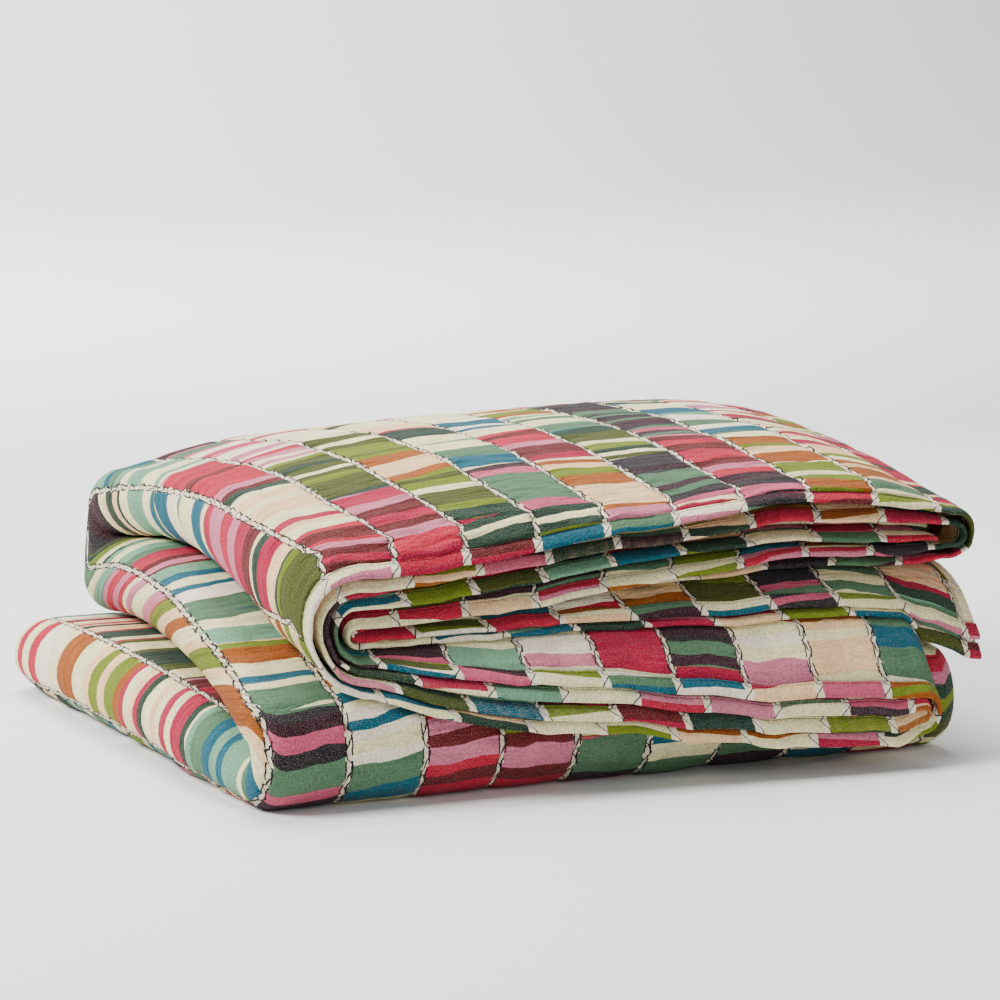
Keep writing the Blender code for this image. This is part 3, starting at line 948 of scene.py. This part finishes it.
def running_stitches(s, seam, along, off, seed, thread):
    """Mask of a dark thread that wanders along one side of a seam, with gaps between stitches."""
    wander = s.times(s.centred(s.noise(s.place(along, seed), WANDERS, 1.0)), WANDER)
    line = near_line(s, seam, s.plus(wander, off), thread)
    beat = s.math("FRACT", s.ratio(uneven(s, along, BEAT_CHANGES, BEAT_WAVER), BEAT))
    return s.times(line, s.math("LESS_THAN", beat, BEAT_SHARE))


def pale_strip(s, place, seam, width, ragged):
    """Mask of the pale strip over a seam: a line with a ragged edge."""
    changes, depth = ragged
    line = s.times(s.centred(s.noise(place, changes)), depth)
    return near_line(s, seam, line, width / 2)


def cotton_finish(s, shader, cotton, place, dye, undyed, relief):
    """Weaves the cotton over a dye and a relief and links it to the shader."""
    surface = s.group(cotton, {
        "Place": place, "Dye": dye, "Undyed": undyed, "Relief": relief})
    for socket, given in (("Base Color", "Colour"), ("Roughness", "Roughness"),
                          ("Normal", "Normal")):
        s.tree.links.new(surface[given], shader.inputs[socket])


# What the shader of every material says
SHADER = (("Metallic", 0.0), ("IOR", 1.45), ("Specular IOR Level", 0.12),
          ("Sheen Weight", 0.04), ("Sheen Roughness", 0.5))


def finish_material(name, build):
    """A material of one Principled shader; build links colour, roughness and normal to it."""
    made = bpy.data.materials.new(name)
    made.use_nodes = True
    shader = made.node_tree.nodes["Principled BSDF"]
    for socket, value in SHADER:
        shader.inputs[socket].default_value = value
    build(Shading(made.node_tree), shader)
    return made


def columns_at(s, groups, sizes, place):
    """Where a place lies among the columns: Column, Across and Seam."""
    return s.group(groups["columns"], {
        "Place": place, "Width": sizes.column_width, "First": sizes.first_seam})


def palette():
    """The colours of the stage's property group, by name."""
    dyes = bpy.context.scene.coverlet_colours
    return {name: tuple(getattr(dyes, name)) for name in dyes.__annotations__}


# Relief of the cloth in parts of the bump's depth: the groove of a seam, the crinkles per metre
# of cloth, long across it and higher towards the seams, and the stitches
GROOVE_REACH, GROOVE_HEIGHT = 4 * MM, 300.0
CRINKLES, CRINKLE_STRETCH, CRINKLE_HEIGHT, SEAM_CRINKLE = 100.0, 0.3, 7.0, 17.0
STITCH_HEIGHT = 0.8


def cloth_material(sizes, groups, dyes):
    """Quilted cotton: patchwork columns, pale sashing at the seams and stitches over them."""

    def build(s, shader):
        place = s.node("ShaderNodeAttribute", attribute_name="cloth_place").outputs["Vector"]
        ivory, thread_dye = (*dyes["ivory"], 1), (*dyes["thread"], 1)
        u, v = s.parts(place)[:2]
        column = columns_at(s, groups, sizes, place)
        dye = s.group(groups["patchwork"], {
            "Column": column["Column"], "Across": column["Across"], "Along": v,
            "Block": sizes.block_length, "Bar": sizes.bar_length,
            "Waver": sizes.bar_waver})["Dye"]
        seam = column["Seam"]
        near = pale_strip(s, place, seam, sizes.sashing, CLOTH_RAGGED)
        dye = s.mix(s.times(near, SASHING_COVER), dye, ivory)
        thread = sizes.thread_width / 2
        stitches = cross_stitches(s, seam, v, *CLOTH_STITCH, thread)
        for side, seed in RUNNING_ROWS:
            stitches = s.math("MAXIMUM", stitches, running_stitches(
                s, seam, v, sizes.sashing * side, seed, thread))
        dye = s.mix(stitches, dye, thread_dye)
        groove = s.math("SMOOTH_MIN", s.math("ABSOLUTE", seam), GROOVE_REACH, GROOVE_REACH / 2)
        crinkle = s.noise(s.place(s.times(u, CRINKLE_STRETCH), v), CRINKLES, 3.0)
        towards_seam = s.times(s.math("ABSOLUTE", column["Across"]), SEAM_CRINKLE)
        crinkle = s.times(crinkle, s.plus(CRINKLE_HEIGHT, towards_seam))
        relief = s.plus(s.times(groove, GROOVE_HEIGHT), crinkle)
        relief = s.plus(relief, s.times(stitches, STITCH_HEIGHT))
        cotton_finish(s, shader, groups["cotton"], place, dye, ivory, relief)

    return finish_material("quilted cotton", build)


# Small stitches of the binding: half their width, beat and share, and how dark they look
SMALL_WIDTH, SMALL_BEAT, SMALL_SHARE, SMALL_DARK = 0.28 * MM, 2.6 * MM, 0.6, 0.55
# The furrow they lie in, per metre to each side, and the binding's crinkles
FURROW_SLOPE, BINDING_CRINKLES, BINDING_CRINKLE_HEIGHT = 1400.0, 230.0, 3.2
# Shifts that bring each column and side of the binding to stripes of its own
STRIPE_SHIFT, SIDE_SHIFT = 0.731, 97.0
# The binding's stripes against the cloth's: longer families, steadier edges
FAMILY_STRETCH, STRIPE_WAVER = 4, 0.3


def binding_material(sizes, groups, dyes):
    """Binding cotton: stripes along the edge for a column's length, then a pale gap."""

    def build(s, shader):
        place = s.node("ShaderNodeAttribute", attribute_name="binding_place").outputs["Vector"]
        ivory, thread_dye = (*dyes["ivory"], 1), (*dyes["thread"], 1)
        run, side, depth = s.parts(place)
        column = columns_at(s, groups, sizes, place)
        place_of_stripes = s.plus(depth, s.times(column["Column"], STRIPE_SHIFT))
        dye = s.group(groups["patchwork"], {
            "Column": s.plus(column["Column"], s.times(side, SIDE_SHIFT)),
            "Across": column["Across"], "Along": place_of_stripes,
            "Block": sizes.block_length * FAMILY_STRETCH, "Bar": sizes.binding_width,
            "Waver": sizes.bar_waver * STRIPE_WAVER})["Dye"]
        seam = column["Seam"]
        near = pale_strip(s, place, seam, sizes.binding_gap, BINDING_RAGGED)
        dye = s.mix(near, dye, ivory)
        stitches = cross_stitches(s, seam, depth, *BINDING_STITCH, sizes.thread_width / 2)
        dye = s.mix(stitches, dye, thread_dye)
        inward = s.minus(s.math("ABSOLUTE", depth), sizes.binding_width * STITCH_ROW)
        off_row = s.math("ABSOLUTE", inward)
        furrow = s.math("MAXIMUM", 0.0, s.minus(1.0, s.times(off_row, FURROW_SLOPE)))
        small = s.math("LESS_THAN", off_row, SMALL_WIDTH)
        beat = s.math("LESS_THAN", s.math("FRACT", s.ratio(run, SMALL_BEAT)), SMALL_SHARE)
        dye = s.mix(s.times(s.times(small, beat), SMALL_DARK), dye, thread_dye)
        crinkle = s.times(s.noise(place, BINDING_CRINKLES, 3.0), BINDING_CRINKLE_HEIGHT)
        cotton_finish(s, shader, groups["cotton"], s.place(run, depth), dye, ivory,
                      s.minus(crinkle, furrow))

    return finish_material("binding cotton", build)


# The paper: spots of its mottle per metre, how light they are, and its roughness
PAPER_SPOTS, PAPER_DARKER, PAPER_ROUGHNESS = 3.0, 0.99, 0.9


def stage_material(name, colour):
    """Plain matt paper of the floor and backdrop, very faintly mottled."""

    def build(s, shader):
        place = s.node("ShaderNodeTexCoord").outputs["Object"]
        darker = [channel * PAPER_DARKER for channel in colour]
        paper = s.mix(s.noise(place, PAPER_SPOTS), (*darker, 1), (*colour, 1))
        s.tree.links.new(paper, shader.inputs["Base Color"])
        shader.inputs["Roughness"].default_value = PAPER_ROUGHNESS

    return finish_material(name, build)


def size_property(name, description, default, low, high):
    """A length in metres that a user may change."""
    return FloatProperty(name=name, description=description, default=default, min=low, max=high,
                         unit="LENGTH", precision=4)


def colour_property(name, default):
    """A dye that a user may change."""
    return FloatVectorProperty(name=name, description="Dye: " + name.lower(), default=default,
                               subtype="COLOR", size=3, min=0, max=1)


class CoverletSizes(bpy.types.PropertyGroup):
    """Sizes of the cloth, its quilting and its binding."""

    cloth_width: size_property("Cloth width", "Width of the flat cloth", 2.58, 1.5, 3.2)
    cloth_length: size_property("Cloth length", "Length of the flat cloth", 2.58, 1.5, 3.0)
    column_width: size_property("Column width", "Between two seams", 0.046, 0.03, 0.08)
    first_seam: size_property("First seam", "From the cloth's side to a seam", 0.039, 0.0, 0.08)
    seam_thick: size_property("Seam thickness", "Of the cloth in a seam", 0.0012, 0.0005, 0.002)
    full_thick: size_property("Full thickness", "Between the seams", 0.0023, 0.001, 0.004)
    extra_puff: size_property("Extra fullness", "On the outer wrap", 0.0009, 0.0, 0.003)
    pucker_depth: size_property("Pucker depth", "Of puckers at a seam", 0.0014, 0.0, 0.002)
    dent_depth: size_property("Dent depth", "Of soft dents on the outer wrap", 0.0013, 0.0, 0.003)
    crimp_depth: size_property("Crimp depth", "Of ripples next to the binding", 0.0006, 0.0, 0.002)
    binding_width: size_property("Binding width", "How far it reaches in", 0.010, 0.005, 0.02)
    binding_thick: size_property("Binding thickness", "At its roll", 0.0032, 0.001, 0.006)
    sashing: size_property("Sashing", "Pale strip over each seam", 0.0030, 0.0, 0.015)
    thread_width: size_property("Thread width", "Of the dark stitches", 0.0009, 0.0002, 0.003)
    binding_gap: size_property("Binding gap", "Pale place between its colours", 0.0050, 0.0, 0.02)
    block_length: size_property("Block length", "Of one family of colours", 0.075, 0.03, 0.2)
    bar_length: size_property("Bar length", "Typical bar of one colour", 0.0115, 0.004, 0.05)
    bar_waver: size_property("Bar waver", "How far a bar's edge wanders", 0.009, 0.0, 0.02)


class CoverletColours(bpy.types.PropertyGroup):
    """Dyes of the patchwork, the thread and the stage, as linear colours."""

    cream: colour_property("Cream", (0.76, 0.69, 0.38))
    ivory: colour_property("Ivory", (0.80, 0.71, 0.54))
    peach: colour_property("Peach", (0.78, 0.50, 0.26))
    blush: colour_property("Blush", (0.52, 0.15, 0.22))
    rose: colour_property("Rose", (0.48, 0.075, 0.14))
    raspberry: colour_property("Raspberry", (0.34, 0.002, 0.036))
    coral: colour_property("Coral", (0.42, 0.006, 0.034))
    maroon: colour_property("Maroon", (0.105, 0.006, 0.010))
    plum: colour_property("Plum", (0.030, 0.006, 0.014))
    charcoal: colour_property("Charcoal", (0.016, 0.013, 0.018))
    lime: colour_property("Lime", (0.13, 0.18, 0.004))
    moss: colour_property("Moss", (0.052, 0.066, 0.006))
    forest: colour_property("Forest", (0.010, 0.034, 0.020))
    sage: colour_property("Sage", (0.065, 0.15, 0.078))
    aqua: colour_property("Aqua", (0.13, 0.29, 0.18))
    teal: colour_property("Teal", (0.0, 0.085, 0.13))
    ochre: colour_property("Ochre", (0.28, 0.066, 0.001))
    thread: colour_property("Thread", (0.006, 0.005, 0.007))
    paper: colour_property("Paper", (0.88, 0.88, 0.88))


RIGHT_TURNS = (("fifth", "sixth"), ("first", "third"), ("third", "fourth"), ("second", "fifth"))
LEFT_TURN = (("sixth", "first"),)
# How far inside the hidden passes the outer wrap's own piece ends
WRAP_INTO_SIXTH = 40 * MM
WRAP_INTO_THIRD = 50 * MM


def shared_group(name, build):
    """A node group of this name, built once and used in every material that asks for it."""
    return bpy.data.node_groups.get(name) or build()


def shared_groups():
    """The node groups that the materials share, by their part in them."""
    return {"cotton": shared_group("Cotton surface", cotton_surface_group),
            "columns": shared_group("Columns", column_group),
            "patchwork": shared_group("Patchwork", lambda: patchwork_group(palette()))}


class COVERLET_OT_cloth(bpy.types.Operator):
    """Build the quilted cloth: the outer wrap, the folds inside it and the layer behind them"""

    bl_idname = "coverlet.cloth"
    bl_label = "Quilted cloth"

    def execute(self, context):
        sizes = context.scene.coverlet_sizes
        finish = cloth_material(sizes, shared_groups(), palette())
        outer = Cloth(sizes, OUTER_ROWS, INNER_ROWS)
        inner = Cloth(sizes, INNER_ROWS, INNER_ROWS)
        low, high = sizes.binding_width, sizes.cloth_width - sizes.binding_width
        split_low = outer.seam_near(outer.start_of("sixth")[0] + WRAP_INTO_SIXTH)
        split_high = outer.seam_near(outer.start_of("third")[0] + WRAP_INTO_THIRD)
        turns = inner.turns_of(RIGHT_TURNS)
        border = len(BORDER) - 1
        u = outer.lines_between(split_low, split_high, FINE_COLUMN)
        shown = exposure(outer, u, OUTER_ROWS, outer.total)
        wrap = cloth_piece("outer_wrap", outer, u, border, outer.back_row + 1, finish, shown)
        for name, start, end in (("inner_folds_first", low, split_low),
                                 ("inner_folds_last", split_high, high)):
            u = inner.lines_between(start, end, COARSE_COLUMN, turns)
            cloth_piece(name, inner, u, border, inner.back_row + 1, finish)
        u = inner.lines_between(low, high, COARSE_COLUMN, turns + inner.turns_of(LEFT_TURN))
        cloth_piece("back_layer", inner, u, inner.back_row, inner.total - border, finish)
        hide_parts("cloth")
        return {"FINISHED"}


class COVERLET_OT_binding(bpy.types.Operator):
    """Sew the binding over the cloth's edge: a strip on each hem and each side"""

    bl_idname = "coverlet.binding"
    bl_label = "Binding"

    def execute(self, context):
        sizes = context.scene.coverlet_sizes
        finish = binding_material(sizes, shared_groups(), palette())
        inner = Cloth(sizes, INNER_ROWS, INNER_ROWS)
        width = sizes.cloth_width
        border = len(BORDER) - 1
        turns = inner.turns_of(RIGHT_TURNS + LEFT_TURN)
        u = inner.lines_between(0, width, COARSE_COLUMN, turns)
        points, v = inner.at(u)
        depth = np.array(BORDER) * MM + v[:, :border + 1] * 0
        run = u[:, None] + depth * 0
        front = binding_strip("binding_front_hem", points[:, :border + 1], run, 0, depth,
                              finish, sizes)
        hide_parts("binding")
        binding_strip("binding_back_hem", points[:, -border - 1:], run, 1, depth[:, ::-1],
                      finish, sizes)
        rows = slice(border, inner.total - border)
        for side, name, near_start in ((2, "binding_tucked_end", True),
                                       (3, "binding_loose_end", False)):
            lines = edge_lines(width, near_start)
            points, v = inner.at(lines)
            depth = np.minimum(lines, width - lines)[:, None] + v[:, rows] * 0
            binding_strip(name, points[:, rows], v[:, rows], side, depth, finish, sizes,
                          SIDE_PRESSED)
        return {"FINISHED"}


# Lights: name, place, what it is aimed at, size in metres and power in watts
LIGHTS = (
    ("key", (-1.9, 0.1, 1.7), (0, 0, 0.08), 1.0, 104),
    ("fill", (1.0, -2.2, 1.0), (0, 0, 0.08), 1.6, 16),
    ("top", (0.2, 0.9, 1.9), (0, 0, 0.08), 1.4, 70),
    ("backdrop", (0.0, 2.2, 2.6), (0, 5.5, 1.2), 2.5, 380),
)
WORLD_LIGHT = 0.30
# The paper's half width, where it stands upright, its height and its bend, in metres
PAPER_REACH, PAPER_BACK, PAPER_TOP, PAPER_BEND, BEND_STEPS = 6, 5.5, 6, 1.5, 24
# The camera: its way round and up in degrees, its distance and what it looks at in metres
CAMERA_ROUND, CAMERA_UP, CAMERA_DISTANCE = -24.382, 10.073, 2.5
CAMERA_TARGET = (0.2285, 0.2035, 0.07)
CAMERA_LENS = {"sensor_width": 36, "lens": 142.74, "shift_x": 0.0329, "shift_y": 0.1032}


class COVERLET_OT_stage(bpy.types.Operator):
    """Lay the floor and backdrop, set the lights and the camera"""

    bl_idname = "coverlet.stage"
    bl_label = "Stage"

    def execute(self, context):
        across = np.linspace(-PAPER_REACH, PAPER_REACH, 2)[:, None]
        bend = np.linspace(0, np.pi / 2, BEND_STEPS)
        bend_y = PAPER_BACK - PAPER_BEND + PAPER_BEND * np.sin(bend)
        path_y = np.concatenate([[-PAPER_REACH], bend_y, [PAPER_BACK]])
        path_z = np.concatenate([[0], PAPER_BEND - PAPER_BEND * np.cos(bend), [PAPER_TOP]])
        points = np.stack(np.broadcast_arrays(across, path_y, path_z), -1)
        cells = grid_cells(*points.shape[:2])[1]
        mesh = bpy.data.meshes.new("floor")
        mesh.from_pydata(points.reshape(-1, 3).tolist(), [], cells.tolist())
        mesh.shade_smooth()
        mesh.materials.append(stage_material("paper", palette()["paper"]))
        floor = bpy.data.objects.new("floor", mesh)
        context.scene.collection.objects.link(floor)
        world = bpy.data.worlds.new("studio")
        world.use_nodes = True
        background = world.node_tree.nodes["Background"].inputs
        background[0].default_value = (1, 1, 1, 1)
        background[1].default_value = WORLD_LIGHT
        context.scene.world = world
        for name, place, aim_at, size, power in LIGHTS:
            light = bpy.data.lights.new(name, "AREA")
            light.size = size
            light.energy = power
            lamp = bpy.data.objects.new(name, light)
            lamp.location = place
            aim = Vector(aim_at) - Vector(place)
            lamp.rotation_euler = aim.to_track_quat("-Z", "Y").to_euler()
            context.scene.collection.objects.link(lamp)
        azimuth, elevation = math.radians(CAMERA_ROUND), math.radians(CAMERA_UP)
        target = Vector(CAMERA_TARGET) - Vector((*CENTRE, 0))
        back = Vector((math.sin(azimuth) * math.cos(elevation),
                       -math.cos(azimuth) * math.cos(elevation), math.sin(elevation)))
        data = bpy.data.cameras.new("camera")
        for key, value in CAMERA_LENS.items():
            setattr(data, key, value)
        camera = bpy.data.objects.new("camera", data)
        camera.location = target + back * CAMERA_DISTANCE
        camera.rotation_euler = (-back).to_track_quat("-Z", "Y").to_euler()
        context.scene.collection.objects.link(camera)
        context.scene.camera = camera
        return {"FINISHED"}


class COVERLET_PT_panel(bpy.types.Panel):
    """Lists the sizes, the colours and the steps that build the coverlet"""

    bl_label = "Coverlet"
    bl_idname = "COVERLET_PT_panel"
    bl_space_type = "VIEW_3D"
    bl_region_type = "UI"
    bl_category = "Coverlet"

    def draw(self, context):
        for group in (context.scene.coverlet_sizes, context.scene.coverlet_colours):
            for name in group.__annotations__:
                self.layout.prop(group, name)
        for operator in OPERATORS:
            self.layout.operator(operator.bl_idname)


OPERATORS = (COVERLET_OT_stage, COVERLET_OT_binding, COVERLET_OT_cloth)
CLASSES = (CoverletSizes, CoverletColours) + OPERATORS + (COVERLET_PT_panel,)


def register():
    """Adds the add-on's classes and its two groups of properties."""
    for cls in CLASSES:
        bpy.utils.register_class(cls)
    bpy.types.Scene.coverlet_sizes = PointerProperty(type=CoverletSizes)
    bpy.types.Scene.coverlet_colours = PointerProperty(type=CoverletColours)


def unregister():
    """Takes away what register added."""
    del bpy.types.Scene.coverlet_colours
    del bpy.types.Scene.coverlet_sizes
    for cls in reversed(CLASSES):
        bpy.utils.unregister_class(cls)


def main():
    """Builds the stage, the binding and the cloth."""
    register()
    bpy.ops.coverlet.stage()
    bpy.ops.coverlet.binding()
    bpy.ops.coverlet.cloth()


if __name__ == "__main__":
    main()
